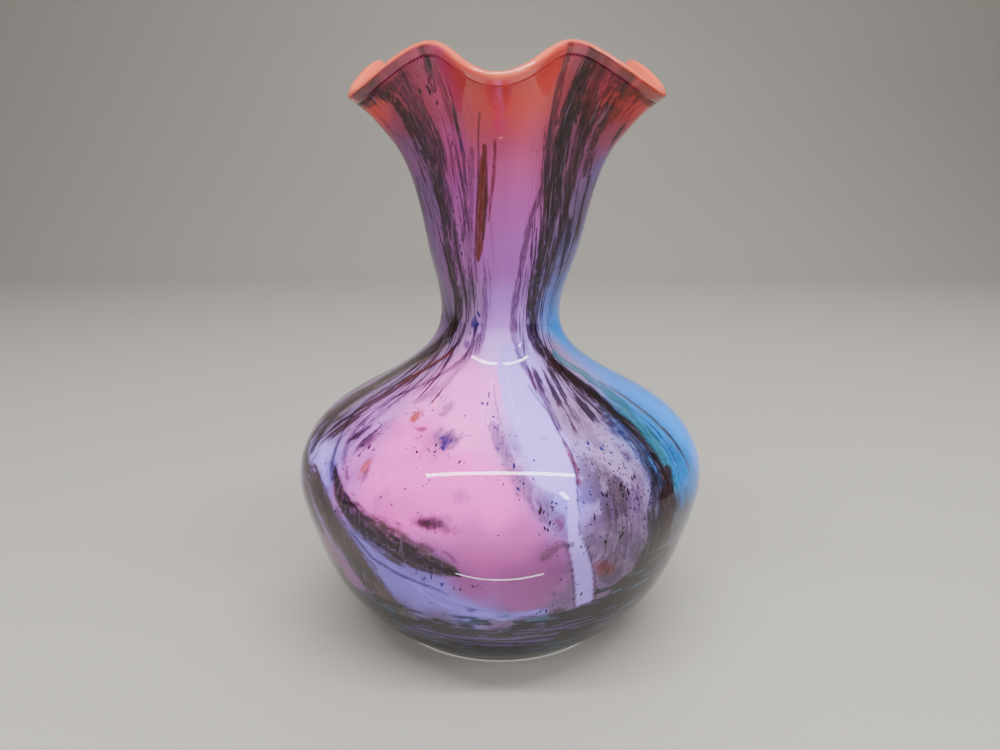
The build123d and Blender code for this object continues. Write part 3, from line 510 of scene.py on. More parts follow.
def paint(a, t):
    """linear colour of the casing at azimuth a (radians) and share t, and how streaky it is"""
    deg = np.degrees((a + math.pi) % (2 * math.pi) - math.pi)
    R = profile_r(t)
    s = t * LENGTH
    # base field: nearest control colours weighted by distance; its darker pinks on the lower belly are partly painted
    # shade
    num = np.zeros(a.shape + (3,))
    den = np.zeros(a.shape)
    wob = 5.0 * (fbm(deg / 12 + 90, s / 26, 5) - 0.5)
    for d0, t0, c in FIELD + BACK_FIELD:
        dd = (deg - d0 + 180) % 360 - 180
        dx = np.radians(dd) * R + wob
        ds = s - t0 * LENGTH + wob
        w = 1.0 / (dx * dx + 0.55 * ds * ds + 30.0) ** 2.3
        num += w[..., None] * srgb(c)
        den += w
    col = num / den[..., None]
    # a faint cloudiness of the opal glass
    cloud = fbm(np.radians(deg) * 60 / 14, s / 22, 31) - 0.5
    col = col * (1 + 0.14 * cloud[..., None])

    fine = np.zeros(a.shape)
    clean = np.ones(a.shape)

    def stroke(c, strength, streak, pts, seed, crisp=False):
        nonlocal col, fine
        P = np.array(pts, float)
        smax, smin = P[:, 1].max() * LENGTH, P[:, 1].min() * LENGTH
        reach = P[:, 2].max() * 1.7 + 3
        mid = P[len(P) // 2, 0]
        dd = (deg - mid + 180) % 360 - 180
        span = np.abs(((P[:, 0] - mid + 180) % 360) - 180).max()
        sel = (s > smin - reach) & (s < smax + reach) & (np.radians(np.maximum(np.abs(dd) - span, 0)) * R < reach)
        if not sel.any():
            return
        x_deg, ss, RR = dd[sel], s[sel], R[sel]
        best = np.full(x_deg.shape, 1e9)
        along = np.zeros(x_deg.shape)
        across = np.zeros(x_deg.shape)
        half = np.ones(x_deg.shape)
        total = 0.0
        for k in range(len(P) - 1):
            d0 = (P[k, 0] - mid + 180) % 360 - 180
            d1 = (P[k + 1, 0] - mid + 180) % 360 - 180
            ax = np.radians(d0 - x_deg) * RR
            bx = np.radians(d1 - x_deg) * RR
            ay = P[k, 1] * LENGTH - ss
            by = P[k + 1, 1] * LENGTH - ss
            ex, ey = bx - ax, by - ay
            L2 = ex * ex + ey * ey + 1e-9
            u = np.clip(-(ax * ex + ay * ey) / L2, 0, 1)
            px, py = ax + u * ex, ay + u * ey
            dist = np.hypot(px, py)
            L = np.sqrt(L2)
            side = (ex * py - ey * px) / L
            h = P[k, 2] + u * (P[k + 1, 2] - P[k, 2])
            score = dist / np.maximum(h, 0.3)
            m = score < best
            best[m] = score[m]
            along[m] = (total + u * L)[m]
            across[m] = (np.sign(side) * dist)[m]
            half[m] = h[m]
            total += float(np.median(L))
        scale = np.clip(half * 0.17, 0.5, 1.5)
        if crisp:
            n = fbm(along / 9, across / 3, seed, octaves=2)
            cov = strength * (1 - smooth((best - 0.97 + 0.10 * (n - 0.5)) / 0.09))
        else:
            n1 = fbm(along / 8, across / (scale * 1.6), seed)
            nb = 0.55 * fbm(along / 14, across / (scale * 0.8), seed + 7) + 0.45 * fbm(along / 3.4, across / (scale * 1.1), seed + 23, octaves=2)
            edge = 1 - smooth((best + 0.95 * (n1 - 0.5) - 0.62) / 0.42)
            mott = fbm(along / 2.6, across / 1.5, seed + 71, octaves=3)
            nb = 0.72 * nb + 0.28 * mott
            holes = smooth((nb - 0.485 - 0.085 * (1 - best)) / 0.10)
            cov = strength * edge * (1 - streak * holes)
        cov = np.clip(cov, 0, 1)
        cc = srgb(c)
        if not crisp:
            n4 = fbm(along / 9, across / (scale * 1.3), seed + 51, octaves=2)[..., None]
            cc = cc * (0.55 + 0.9 * n4) + np.clip(n4 - 0.55, 0, 1) * np.array([0.10, 0.055, 0.045])
        col[sel] = col[sel] * (1 - cov[..., None]) + cc * cov[..., None]
        if not crisp:
            fine[sel] = np.maximum(fine[sel] * (1 - 0.6 * cov), 0) + 0.8 * cov * streak ** 2
            clean[sel] = np.minimum(1, clean[sel] + cov)
        else:
            fine[sel] = fine[sel] * (1 - cov)
            clean[sel] = clean[sel] * (1 - cov)

    # smoky patches where the grains lie thick
    gr = grains(a, t)
    sm = fbm(np.radians(deg) * 80 / 5.5 + 200, s / 9, 61, octaves=4)
    smoke = np.clip(gr * 0.95, 0, 0.75) * smooth((sm - 0.42) / 0.2)
    col = col * (1 - smoke[..., None]) + srgb((62, 52, 72)) * smoke[..., None]
    # threads drawn out along the neck and over the shoulder
    share_dark = np.zeros(a.shape)
    for d0, width, t0, t1, v in ((-46, 17, .53, 1.0, .62), (-62, 16, .36, .60, 1.0), (-80, 14, .30, .58, .9), (-24, 10, .56, .97, .5), (-38, 9, .47, .56, .7),
                                 (38, 15, .56, 1.0, .82), (52, 12, .60, 1.0, .8), (27, 10, .56, .92, .7), (36, 12, .42, .58, .9), (24, 7, .46, .58, .6), (54, 8, .33, .50, .6),
                                 (-78, 10, .60, 1.0, .6), (76, 8, .70, 1.0, .45), (105, 14, .45, 1.0, .7), (140, 16, .42, 1.0, .9), (-160, 14, .42, 1.0, .9),
                                 (-118, 16, .40, 1.0, .8), (172, 6, .6, .95, .5), (-12, 4, .6, .92, .35)):
        dd = (deg - d0 + 180) % 360 - 180
        share_dark = np.maximum(share_dark, v * np.exp(-(dd / width) ** 2 * 0.9) * smooth((t - t0) / 0.05) * smooth((t1 - t) / 0.04 + 0.35))
    share_dark = share_dark * (1 - 0.42 * smooth((t - 0.80) / 0.14))
    turn = deg + 5 * np.sin(s / 42) + 720
    k1 = fbm(turn / 1.5, s / 22, 201, 240, octaves=3)
    k2 = fbm(turn / 0.9, s / 12, 251, 400, octaves=2)
    k3 = fbm(turn / 5.0, s / 45, 271, 72, octaves=2)
    kk = 0.5 * k1 + 0.28 * k2 + 0.22 * k3
    thread = smooth((kk - (0.625 - 0.175 * share_dark)) / 0.075) * smooth(share_dark * 2.2)
    brown = smooth((fbm(turn / 4, s / 30, 291, 90, octaves=2) - 0.42) / 0.2)[..., None]
    tc = srgb((34, 24, 34)) * (1 - brown) + srgb((66, 40, 34)) * brown
    rim = (0.75 * smooth((t - 0.84) / 0.12) * smooth((fbm(turn / 2.2, s / 14, 295, 164, octaves=2) - 0.38) / 0.2))[..., None]
    tc = tc * (1 - rim) + srgb((104, 56, 66)) * rim
    col = col * (1 - 0.9 * thread[..., None]) + tc * 0.9 * thread[..., None]
    fine = np.maximum(fine, 0.55 * np.clip(share_dark, 0, 1))
    order = 0
    for c, st, sk, pts in BACK_BANDS:
        order += 1
        stroke(c, st, sk, pts, 100 + order * 41)
    for c, st, pts in RIBBONS:
        stroke(c, st, 0, pts, 77, crisp=True)
    for c, st, sk, pts in BANDS:
        order += 1
        stroke(c, st, sk, pts, 100 + order * 41)
    # the dark foot
    top_of = np.interp(deg, [-180, -140, -100, -70, -45, -25, 0, 15, 25, 38, 50, 62, 80, 110, 150, 180],
                       [.165, .18, .17, .175, .178, .165, .160, .165, .185, .215, .25, .235, .19, .17, .18, .165])
    h1 = fbm(deg / 9 + 400, s / 3.4, 301)
    h2 = fbm(deg / 11 + 400, s / 1.5, 331)
    foot = smooth((top_of - t + 0.085 * (h1 - 0.5) + 0.03 * (h2 - 0.5)) / 0.012)
    gaps = smooth((h2 - 0.585) / 0.05) * smooth((t - 0.035) / 0.03) * 0.7
    fc = srgb((26, 21, 25)) * (0.6 + 0.8 * h1[..., None])
    hue = smooth((fbm(deg / 20 + 400, s / 9, 351, octaves=2) - 0.45) / 0.15)[..., None]
    gc = srgb((86, 112, 132)) * hue + srgb((112, 96, 140)) * (1 - hue)
    cf = (foot * 0.96)[..., None]
    col = col * (1 - cf) + (fc * (1 - gaps[..., None]) + gc * gaps[..., None]) * cf
    fine = fine * (1 - foot)
    for d0, t0, rx, ry, c, st in BLOTS:
        order += 1
        dd = (deg - d0 + 180) % 360 - 180
        dx, dy = np.radians(dd) * R / rx, (s - t0 * LENGTH) / ry
        q = np.hypot(dx, dy)
        sel = q < 2.2
        n = fbm(np.radians(dd[sel]) * R[sel] / 1.7, s[sel] / 2.6, 900 + order)
        cov = st * (1 - smooth((q[sel] + 1.3 * (n - 0.5) - 0.45) / 0.7))
        col[sel] = col[sel] * (1 - cov[..., None]) + srgb(c) * cov[..., None]
        fine[sel] = np.clip(fine[sel] + 0.3 * cov, 0, 1)
    return np.clip(col, 0.004, 1), np.clip(fine, 0, 1), clean


# ------------------------------------------------------------------ materials
def material(name):
    mat = bpy.data.materials.new(name)
    mat.use_nodes = True
    nt = mat.node_tree
    nt.nodes.clear()
    out = nt.nodes.new("ShaderNodeOutputMaterial")
    return mat, nt, out


def opal_material():
    mat, nt, out = material("opal_glass")
    N, L = nt.nodes.new, nt.links.new
    col = N("ShaderNodeAttribute"); col.attribute_name = "tint"
    flow = N("ShaderNodeAttribute"); flow.attribute_name = "flow"
    fine = N("ShaderNodeAttribute"); fine.attribute_name = "fine"
    speck = N("ShaderNodeAttribute"); speck.attribute_name = "speck"
    # threads of dark glass along the flow
    mp = N("ShaderNodeMapping"); mp.inputs["Scale"].default_value = (1.45, 0.085, 1.45)
    L(flow.outputs["Vector"], mp.inputs["Vector"])
    n1 = N("ShaderNodeTexNoise"); n1.inputs["Scale"].default_value = 1.0; n1.inputs["Detail"].default_value = 3.0
    L(mp.outputs["Vector"], n1.inputs["Vector"])
    thr = N("ShaderNodeMapRange"); thr.inputs["From Min"].default_value = 0.505; thr.inputs["From Max"].default_value = 0.575
    L(n1.outputs["Fac"], thr.inputs["Value"])
    mul = N("ShaderNodeMath"); mul.operation = "MULTIPLY"
    L(thr.outputs["Result"], mul.inputs[0]); L(fine.outputs["Fac"], mul.inputs[1])
    m1 = N("ShaderNodeMix"); m1.data_type = "RGBA"
    L(mul.outputs["Value"], m1.inputs["Factor"])
    L(col.outputs["Color"], m1.inputs["A"])
    m1.inputs["B"].default_value = (0.020, 0.014, 0.016, 1)
    # lighter threads between them
    mp2 = N("ShaderNodeMapping"); mp2.inputs["Scale"].default_value = (1.1, 0.06, 1.1); mp2.inputs["Location"].default_value = (31, 7, 3)
    L(flow.outputs["Vector"], mp2.inputs["Vector"])
    n2 = N("ShaderNodeTexNoise"); n2.inputs["Scale"].default_value = 1.0; n2.inputs["Detail"].default_value = 2.0
    L(mp2.outputs["Vector"], n2.inputs["Vector"])
    thr2 = N("ShaderNodeMapRange"); thr2.inputs["From Min"].default_value = 0.60; thr2.inputs["From Max"].default_value = 0.70
    L(n2.outputs["Fac"], thr2.inputs["Value"])
    mul2 = N("ShaderNodeMath"); mul2.operation = "MULTIPLY"; mul2.inputs[1].default_value = 0.5
    L(thr2.outputs["Result"], mul2.inputs[0])
    mul3 = N("ShaderNodeMath"); mul3.operation = "MULTIPLY"
    L(mul2.outputs["Value"], mul3.inputs[0]); L(fine.outputs["Fac"], mul3.inputs[1])
    m2 = N("ShaderNodeMix"); m2.data_type = "RGBA"
    L(mul3.outputs["Value"], m2.inputs["Factor"])
    L(m1.outputs["Result"], m2.inputs["A"])
    m2.inputs["B"].default_value = (0.34, 0.22, 0.40, 1)
    # grains
    mp3 = N("ShaderNodeMapping"); mp3.inputs["Scale"].default_value = (0.85, 0.62, 0.85)
    L(flow.outputs["Vector"], mp3.inputs["Vector"])
    vo = N("ShaderNodeTexVoronoi"); vo.inputs["Scale"].default_value = 1.0; vo.inputs["Randomness"].default_value = 1.0
    L(mp3.outputs["Vector"], vo.inputs["Vector"])
    sep = N("ShaderNodeSeparateColor"); L(vo.outputs["Color"], sep.inputs["Color"])
    rad = N("ShaderNodeMath"); rad.operation = "MULTIPLY"; rad.inputs[1].default_value = 0.36
    L(sep.outputs["Red"], rad.inputs[0])
    inside = N("ShaderNodeMath"); inside.operation = "LESS_THAN"
    L(vo.outputs["Distance"], inside.inputs[0]); L(rad.outputs["Value"], inside.inputs[1])
    pick = N("ShaderNodeMath"); pick.operation = "LESS_THAN"
    L(sep.outputs["Green"], pick.inputs[0]); L(speck.outputs["Fac"], pick.inputs[1])
    both = N("ShaderNodeMath"); both.operation = "MULTIPLY"
    L(inside.outputs["Value"], both.inputs[0]); L(pick.outputs["Value"], both.inputs[1])
    sc = N("ShaderNodeMix"); sc.data_type = "RGBA"
    L(sep.outputs["Blue"], sc.inputs["Factor"])
    sc.inputs["A"].default_value = (0.016, 0.02, 0.10, 1)
    sc.inputs["B"].default_value = (0.03, 0.018, 0.016, 1)
    bw = N("ShaderNodeMath"); bw.operation = "MULTIPLY"; bw.inputs[1].default_value = 0.85
    L(both.outputs["Value"], bw.inputs[0])
    m3 = N("ShaderNodeMix"); m3.data_type = "RGBA"
    L(bw.outputs["Value"], m3.inputs["Factor"])
    L(m2.outputs["Result"], m3.inputs["A"]); L(sc.outputs["Result"], m3.inputs["B"])
    p = N("ShaderNodeBsdfPrincipled")
    L(m3.outputs["Result"], p.inputs["Base Color"])
    p.inputs["Roughness"].default_value = 0.35
    p.inputs["Specular IOR Level"].default_value = 0.0
    L(p.outputs["BSDF"], out.inputs["Surface"])
    return mat


def coral_material():
    mat, nt, out = material("coral_glass")
    N, L = nt.nodes.new, nt.links.new
    tc = N("ShaderNodeTexCoord")
    n1 = N("ShaderNodeTexNoise"); n1.inputs["Scale"].default_value = 28.0; n1.inputs["Detail"].default_value = 3.0
    L(tc.outputs["Object"], n1.inputs["Vector"])
    mr = N("ShaderNodeMapRange"); mr.inputs["From Min"].default_value = 0.35; mr.inputs["From Max"].default_value = 0.65
    L(n1.outputs["Fac"], mr.inputs["Value"])
    m1 = N("ShaderNodeMix"); m1.data_type = "RGBA"
    L(mr.outputs["Result"], m1.inputs["Factor"])
    m1.inputs["A"].default_value = (0.86, 0.150, 0.085, 1)
    m1.inputs["B"].default_value = (0.88, 0.185, 0.110, 1)
    p = N("ShaderNodeBsdfPrincipled")
    film = N("ShaderNodeAttribute"); film.attribute_name = "film"
    tint = N("ShaderNodeAttribute"); tint.attribute_name = "tint"
    m2 = N("ShaderNodeMix"); m2.data_type = "RGBA"
    L(film.outputs["Fac"], m2.inputs["Factor"])
    L(m1.outputs["Result"], m2.inputs["A"]); L(tint.outputs["Color"], m2.inputs["B"])
    L(m2.outputs["Result"], p.inputs["Base Color"])
    p.inputs["Roughness"].default_value = 0.07
    p.inputs["Coat Weight"].default_value = 0.6
    p.inputs["Coat Roughness"].default_value = 0.02
    p.inputs["Subsurface Weight"].default_value = 0.25
    p.inputs["Subsurface Radius"].default_value = (1.0, 0.35, 0.25)
    p.inputs["Subsurface Scale"].default_value = 0.003
    L(p.outputs["BSDF"], out.inputs["Surface"])
    return mat


def clear_material():
    mat, nt, out = material("clear_glass")
    N, L = nt.nodes.new, nt.links.new
    g = N("ShaderNodeBsdfGlass")
    g.inputs["Color"].default_value = (0.985, 0.98, 0.985, 1)
    g.inputs["Roughness"].default_value = 0.0
    g.inputs["IOR"].default_value = 1.45
    tr = N("ShaderNodeBsdfTransparent"); tr.inputs["Color"].default_value = (0.97, 0.965, 0.97, 1)
    lp = N("ShaderNodeLightPath")
    mx = N("ShaderNodeMixShader")
    L(lp.outputs["Is Shadow Ray"], mx.inputs["Fac"])
    L(g.outputs["BSDF"], mx.inputs[1]); L(tr.outputs["BSDF"], mx.inputs[2])
    L(mx.outputs["Shader"], out.inputs["Surface"])
    return mat


def frit_material():
    mat, nt, out = material("frit_glass")
    N, L = nt.nodes.new, nt.links.new
    col = N("ShaderNodeAttribute"); col.attribute_name = "tint"
    p = N("ShaderNodeBsdfPrincipled")
    L(col.outputs["Color"], p.inputs["Base Color"])
    p.inputs["Roughness"].default_value = 0.3
    p.inputs["Specular IOR Level"].default_value = 0.15
    L(p.outputs["BSDF"], out.inputs["Surface"])
    return mat


def plain_material(name, color, rough):
    mat, nt, out = material(name)
    p = nt.nodes.new("ShaderNodeBsdfPrincipled")
    p.inputs["Base Color"].default_value = (*color, 1)
    p.inputs["Roughness"].default_value = rough
    nt.links.new(p.outputs["BSDF"], out.inputs["Surface"])
    return mat


# ------------------------------------------------------------------ pieces
NA = 720
NT = 430

zero = lambda t: 0.0 * t
clear_depth = lambda t: CLEAR_T * taper(t)
tuck_depth = lambda t: CLEAR_T * taper(t) + 0.10 * taper(t)
opal_depth = lambda t: OPAL_END_T * taper(t)


def side_rings(n, t0, t1, rows, depth):
    ts = np.linspace(t0, t1, rows)
    g, a, t = ring_grid(n, ts, depth)
    return list(g), a, t


# opal colour casing, with the frit's colours in its skin
t_o, r_o = start_of(clear_depth, 5.0)
out_side, A, T = side_rings(NA, t_o, LIP_END, NT, clear_depth)
rows_in = 50
t_i, r_i = start_of(opal_depth, 6.4)
in_side, _, _ = side_rings(NA, t_i, LIP_END, rows_in, opal_depth)
bottom = floor_rings(NA, t_o, r_o, [(0.3, 5.0), (0.6, 5.0), (0.86, 5.02), (0.93, 5.3), (0.972, 6.1)])
top = floor_rings(NA, t_i, r_i, [(0.972, 7.5), (0.93, 6.7), (0.86, 6.42), (0.5, 6.4)])
opal, _ = shell("opal_colour_casing_visual", bottom + out_side + in_side[::-1] + top)
col, fine, clean = paint(A, T)
nv = len(opal.data.vertices)
tint = np.zeros((nv, 4), np.float32); tint[:, 3] = 1
tint[:, :3] = srgb((60, 44, 56))
inside_from = 1 + (len(bottom) + NT) * NA
tint[inside_from:, :3] = srgb((226, 110, 110))
b0 = 1 + len(bottom) * NA
tint[b0:b0 + NT * NA, :3] = col.reshape(-1, 3)
f = np.zeros(nv, np.float32); f[b0:b0 + NT * NA] = fine.ravel()
flow = np.zeros((nv, 3), np.float32)
deg_a = (A + math.pi) % (2 * math.pi) - math.pi
flow[b0:b0 + NT * NA, 0] = (np.sin(deg_a) * 60).ravel()
flow[b0:b0 + NT * NA, 2] = (np.cos(deg_a) * 60).ravel()
flow[b0:b0 + NT * NA, 1] = (T * LENGTH + 6 * np.sin(deg_a * 2)).ravel()
sp = grains(A, T) * clean
spv = np.zeros(nv, np.float32); spv[b0:b0 + NT * NA] = sp.ravel()
me = opal.data
at = me.attributes.new("tint", "FLOAT_COLOR", "POINT"); at.data.foreach_set("color", tint.ravel())
at = me.attributes.new("fine", "FLOAT", "POINT"); at.data.foreach_set("value", f)
at = me.attributes.new("speck", "FLOAT", "POINT"); at.data.foreach_set("value", spv)
at = me.attributes.new("flow", "FLOAT_VECTOR", "POINT"); at.data.foreach_set("vector", flow.ravel())
opal.data.materials.append(opal_material())

# cylinder map for the bake: azimuth across, distance along the wall upwards
def wrap_map(obj, n, rings_total, b_out=None):
    me = obj.data
    uv = me.uv_layers.new(name="OFBake")
    vi = np.zeros(len(me.loops), np.int32); me.loops.foreach_get("vertex_index", vi)
    last = len(me.vertices) - 1
    ring = (vi - 1) // n
    col_i = (vi - 1) % n
    v = np.zeros(rings_total)
    co = np.zeros(len(me.vertices) * 3); me.vertices.foreach_get("co", co); co = co.reshape(-1, 3)
    step = [0.0]
    for k in range(1, rings_total):
        step.append(step[-1] + float(np.linalg.norm(co[1 + k * n] - co[1 + (k - 1) * n])))
    v = 0.012 + 0.976 * np.array(step) / step[-1]
    U = col_i / n
    V = np.where((vi == 0), 0.004, np.where(vi == last, 0.996, v[np.clip(ring, 0, rings_total - 1)]))
    ls = np.zeros(len(me.polygons), np.int32); me.polygons.foreach_get("loop_start", ls)
    lt = np.zeros(len(me.polygons), np.int32); me.polygons.foreach_get("loop_total", lt)
    poly = np.repeat(np.arange(len(ls)), lt)
    umax = np.zeros(len(ls)); np.maximum.at(umax, poly, np.where((vi == 0) | (vi == last), 0, U))
    low = (umax[poly] > 0.75) & (U < 0.25) & (vi != 0) & (vi != last)
    U = np.where(low, U + 1.0, U)
    umin = np.full(len(ls), 9.0); np.minimum.at(umin, poly, np.where((vi == 0) | (vi == last), 9, U))
    U = np.where((vi == 0) | (vi == last), umin[poly] + 0.5 / n, U)
    U = 0.004 + 0.992 * U
    uv.data.foreach_set("uv", np.stack([U, V], 1).astype(np.float32).ravel())


wrap_map(opal, NA, len(bottom) + NT + rows_in + len(top))
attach(opal, "root"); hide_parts("opal_colour_casing")

# clear casing: outside with the ground foot and pontil mark, inside tucked just under the colour
NC = 240
c_side, _, _ = side_rings(NC, 0.0, LIP_END, 260, zero)
foot = floor_rings(NC, 0, 61.5, [(0.05, 1.3), (0.14, 1.05), (0.22, 0.5), (0.276, 0.0), (0.30, 0.0), (0.6, 0.0), (0.9, 0.0), (0.985, 0.0)])
i_side, _, _ = side_rings(NC, t_o, LIP_END, 200, tuck_depth)
i_floor = floor_rings(NC, t_o, r_o - 0.1, [(0.972, 6.2), (0.93, 5.4), (0.86, 5.12), (0.5, 5.1)])
clear, _ = shell("clear_outer_casing_visual", foot + c_side + i_side[::-1] + i_floor)
clear.data.materials.append(clear_material())
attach(clear, "root"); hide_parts("clear_outer_casing")

# the ground edge of the foot, a fine bright line of bare matt glass
nr, ns = 180, 10
gv, gf = [], []
for i in range(nr):
    ph = 2 * math.pi * i / nr
    for j in range(ns):
        q = 2 * math.pi * j / ns
        gv.append(((61.85 + 0.3 * math.cos(q)) * math.cos(ph) * MM, (61.85 + 0.3 * math.cos(q)) * math.sin(ph) * MM, (0.32 + 0.3 * math.sin(q)) * MM))
        gf.append((i * ns + j, ((i + 1) % nr) * ns + j, ((i + 1) % nr) * ns + (j + 1) % ns, i * ns + (j + 1) % ns))
gm = bpy.data.meshes.new("ground_edge_visual")
gm.from_pydata(gv, [], gf)
gm.polygons.foreach_set("use_smooth", np.ones(len(gm.polygons), bool))
edge_ring = bpy.data.objects.new("ground_edge_visual", gm)
bpy.context.scene.collection.objects.link(edge_ring)
gm.materials.append(plain_material("ground_glass", (0.78, 0.80, 0.82), 0.6))
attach(edge_ring, "root")

# coral casing: swells past the end of the other gathers into the lip bead and runs down inside
o_side, _, _ = side_rings(NC, t_i, LIP_END, 90, opal_depth)
an = np.linspace(0, 2 * math.pi, NC, endpoint=False) + math.pi
swell = [offset(an, np.full(NC, s), np.full(NC, d)) for s, d in ((LIP_END - 0.0010, -0.04), (0.9940, -0.03), (0.9962, -0.01), (0.9980, 0.0))]
bead = []
one = np.ones(NC)
nn = normal(an, one)
dt = unit(outer(an, one) - outer(an, one * 0.9995))
for q in np.radians(np.arange(0, 181, 12)):
    bead.append(outer(an, one) - nn * BEAD_R * (1 - math.cos(q)) + dt * BEAD_R * math.sin(q))
t_c, r_c = start_of(inner_depth, 8.0)
n_side, _, _ = side_rings(NC, t_c, 1.0, 240, inner_depth)
o_floor = floor_rings(NC, t_i, r_i, [(0.5, 6.4), (0.86, 6.42), (0.93, 6.7), (0.972, 7.5)])
n_floor = floor_rings(NC, t_c, r_c, [(0.972, 9.2), (0.93, 8.35), (0.86, 8.02), (0.5, 8.0)])
coral, _ = shell("coral_inner_casing_visual", o_floor + o_side + swell + bead + n_side[::-1][1:] + n_floor)
coral.data.materials.append(coral_material())
# a film of the colour gathers runs out over the outer side of the lip
nvc = len(coral.data.vertices)
lip_tint = np.zeros((nvc, 4), np.float32); lip_tint[:, 3] = 1
film = np.zeros(nvc, np.float32)
lip_col, _, _ = paint(an[None, :], np.full((1, NC), 0.985))
first = 1 + (len(o_floor) + 90) * NC
for k in range(len(swell) + len(bead)):
    b = first + k * NC
    lip_tint[b:b + NC, :3] = lip_col[0]
    q = 0.0 if k < len(swell) else math.radians(12.0 * (k - len(swell)))
    edge_noise = fbm(np.degrees(an) / 7 + 90, np.full(NC, q * 1.5), 611, octaves=2)
    film[b:b + NC] = 0.95 * smooth((1.15 + 0.9 * (edge_noise - 0.5) - q) / 0.5)
film[first - NC:first] = 0.95
lip_tint[first - NC:first, :3] = lip_col[0]
at = coral.data.attributes.new("tint", "FLOAT_COLOR", "POINT"); at.data.foreach_set("color", lip_tint.ravel())
at = coral.data.attributes.new("film", "FLOAT", "POINT"); at.data.foreach_set("value", film)
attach(coral, "root"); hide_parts("coral_inner_casing")

# frit: single grains of dark glass lying in the skin, each a closed flattened drop
rng = np.random.default_rng(11)
ico_v, ico_f = [], []
for i in range(3):
    th = (0.5, 1.5708, 2.64)[i]
    for k in range(8):
        ph = 2 * math.pi * k / 8
        ico_v.append((math.sin(th) * math.cos(ph), math.sin(th) * math.sin(ph), math.cos(th)))
ico_v = np.array([(0, 0, 1)] + ico_v + [(0, 0, -1)], float)
for k in range(8):
    k2 = (k + 1) % 8
    ico_f.append((0, 1 + k, 1 + k2))
    ico_f.append((25, 17 + k2, 17 + k))
    for r in range(2):
        b = 1 + r * 8
        ico_f.append((b + k, b + 8 + k, b + 8 + k2)); ico_f.append((b + k, b + 8 + k2, b + k2))
ico_f = np.array(ico_f)
vs, fs, cs, us = [], [], [], []
count = 0
back = [(150, .38, 12, 10, 16, (36, 44, 110)), (175, .3, 14, 12, 20, (22, 18, 22)), (-150, .35, 14, 12, 18, (36, 44, 110)),
        (-120, .42, 12, 12, 14, (22, 18, 22)), (140, .8, 6, 24, 10, (22, 18, 22)), (-160, .82, 6, 24, 10, (22, 18, 22))]
for d0, t0, rx, ry, n, c in CHIPS + back:
    for _ in range(n):
        g = rng.normal(size=2) * 0.6
        Rl = float(profile_r(t0))
        t = float(np.clip(t0 + g[1] * ry / LENGTH, 0.04, 0.955))
        a = math.radians(d0) + g[0] * rx / Rl
        size = 0.20 + 0.38 * rng.random() ** 2
        long = size * (1.2 + 1.6 * rng.random()) * (1.8 if t > 0.55 else 1.0)
        p = offset(np.array(a), np.array(t), np.array(float(clear_depth(np.array(t)))))
        nrm = normal(np.array(a), np.array(t))
        up = unit(outer(np.array(a), np.array(t + 1e-3)) - outer(np.array(a), np.array(t - 1e-3)))
        sd = np.cross(up, nrm)
        ang = rng.normal() * 0.35
        e1 = sd * math.cos(ang) + up * math.sin(ang)
        e2 = up * math.cos(ang) - sd * math.sin(ang)
        wob = 1 + 0.25 * rng.normal(size=len(ico_v)).clip(-1, 1)
        v = p + (ico_v[:, :1] * wob[:, None]) * size * e1 + (ico_v[:, 1:2] * wob[:, None]) * long * e2 + ico_v[:, 2:] * 0.13 * nrm
        vs.append(v); fs.append(ico_f + count * len(ico_v))
        cc = np.clip(srgb(c) * (0.7 + 0.6 * rng.random()), 0, 1)
        cs.append(np.tile(np.r_[cc, 1], (len(ico_v), 1)))
        gx, gy = count % 32, count // 32
        us.append(np.stack([(gx + 0.5 + 0.36 * ico_v[:, 0] * (1 - 0.25 * ico_v[:, 2])) / 32, (gy + 0.5 + 0.36 * ico_v[:, 1] * (1 - 0.25 * ico_v[:, 2])) / 32], 1))
        count += 1
vs = np.concatenate(vs); fs = np.concatenate(fs); cs = np.concatenate(cs).astype(np.float32); us = np.concatenate(us)
fm = bpy.data.meshes.new("frit_layer_visual")
fm.from_pydata((vs * MM).tolist(), [], fs.tolist())
fm.update()
at = fm.attributes.new("tint", "FLOAT_COLOR", "POINT"); at.data.foreach_set("color", cs.ravel())
fm.polygons.foreach_set("use_smooth", np.ones(len(fm.polygons), bool))
frit = bpy.data.objects.new("frit_layer_visual", fm)
bpy.context.scene.collection.objects.link(frit)
frit.data.materials.append(frit_material())
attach(frit, "root"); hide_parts("frit_layer")

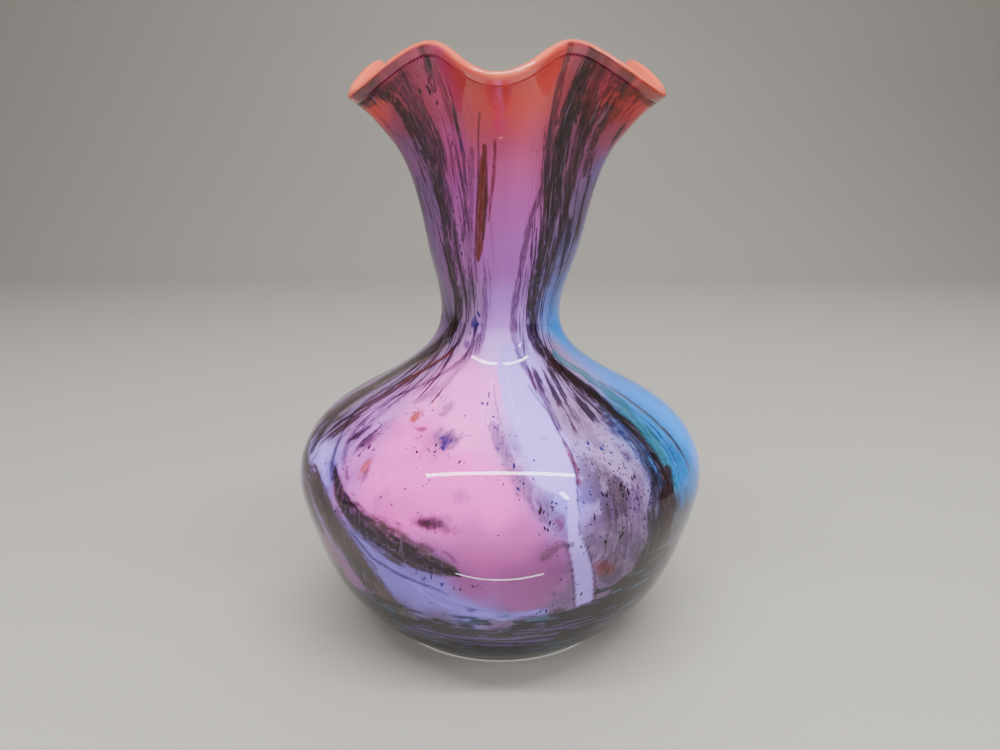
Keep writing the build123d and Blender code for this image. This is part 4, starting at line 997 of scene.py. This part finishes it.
# ------------------------------------------------------------------ stage, light and camera
cyc = plain_material("floor_pale", (0.46, 0.435, 0.40), 0.4)
pts = [(-1.6, 0.0)]
pts += [(1.3 + 0.6 * math.sin(q), 0.6 - 0.6 * math.cos(q)) for q in np.radians(np.arange(0, 91, 6))]
pts += [(1.9, 3.2)]
cm = bpy.data.meshes.new("backdrop")
cm.from_pydata([(x, y, z) for y, z in pts for x in (-4.0, 4.0)], [], [(2 * k, 2 * k + 1, 2 * k + 3, 2 * k + 2) for k in range(len(pts) - 1)])
cm.polygons.foreach_set("use_smooth", np.ones(len(cm.polygons), bool))
floor = bpy.data.objects.new("backdrop", cm)
bpy.context.scene.collection.objects.link(floor)
cm.materials.append(cyc)


def area(name, loc, target, sx, sy, power, glossy=True, color=(1, 1, 1)):
    l = bpy.data.lights.new(name, "AREA")
    l.shape = "RECTANGLE"
    l.size, l.size_y = sx, sy
    l.energy = power
    l.color = color
    o = bpy.data.objects.new(name, l)
    bpy.context.scene.collection.objects.link(o)
    o.location = loc
    o.rotation_euler = (Vector(target) - Vector(loc)).to_track_quat("-Z", "Y").to_euler()
    o.visible_glossy = glossy
    o.visible_camera = False
    return o


area("soft_front", (-0.5, -1.5, 1.1), (0, 0, 0.12), 1.6, 1.2, 22, glossy=False)
area("soft_top", (0.2, 0.1, 1.6), (0, 0, 0.1), 1.6, 1.6, 13, glossy=False)
area("soft_right", (1.4, -0.5, 0.8), (0, 0, 0.15), 1.0, 1.0, 9, glossy=False)
area("soft_back", (0.3, 1.1, 1.4), (0, 0, 0.15), 1.4, 1.2, 8, glossy=False)
area("tube_top", (0, -0.42, 1.5), (0, -0.42, 0.0), 1.7, 0.085, 26.0)
area("tube_right", (0.62, -0.75, 0.9), (0, 0, 0.1), 0.05, 0.22, 1.6)
area("tube_low", (0, -0.140, 0.003), (0, -0.09, 0.07), 0.085, 0.0016, 0.008)

world = bpy.data.worlds.new("room")
world.use_nodes = True
world.node_tree.nodes["Background"].inputs["Color"].default_value = (0.80, 0.78, 0.75, 1)
world.node_tree.nodes["Background"].inputs["Strength"].default_value = 0.16
bpy.context.scene.world = world

cam_data = bpy.data.cameras.new("camera")
cam_data.lens = 27.0
cam_data.sensor_width = 36.0
cam_data.clip_start = 0.02
cam = bpy.data.objects.new("camera", cam_data)
bpy.context.scene.collection.objects.link(cam)
cam.location = (0, -0.3758, 0.2273)
cam.rotation_euler = (math.radians(75), 0, 0)
bpy.context.scene.camera = cam
